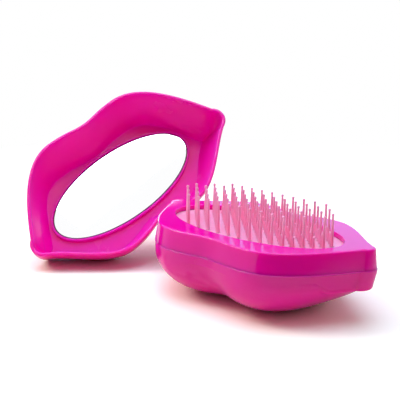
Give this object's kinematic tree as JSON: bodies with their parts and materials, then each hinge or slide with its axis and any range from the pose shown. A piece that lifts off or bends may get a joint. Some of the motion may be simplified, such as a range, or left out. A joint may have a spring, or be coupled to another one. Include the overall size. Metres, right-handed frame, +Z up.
{
  "type": "compact hairbrush with mirror cover",
  "caption": "Compact lips-shaped detangling brush: domed casing, flat deck with an oval bristle pad, and a deep pull-off cover that holds an oval mirror.",
  "frame": {"origin": "middle of the brush's rest face", "axes": "+Z up, X along the brush from corner to corner, -Y towards the upper lip's side, the cover stands at -X"},
  "size_m": [0.1603, 0.0923, 0.0701],
  "materials": {
    "casing": "gloss moulded",
    "bristles": "soft moulded",
    "retainer": "plain moulded",
    "mirror": "polished",
    "tape": "foam"
  },
  "bodies": {
    "brush": {"base_shell": "casing", "deck_frame": "casing", "bristle_pad": "bristles", "pad_retainer": "retainer"},
    "cover": {"cover_shell": "casing", "mirror_glass": "mirror", "mirror_tape": "tape"}
  },
  "joints": [
    {"name": "cover_lift", "type": "slide", "parent": "brush", "child": "cover", "axis": [0, 0, 1], "range_m": [0, 0.06]}
  ]
}
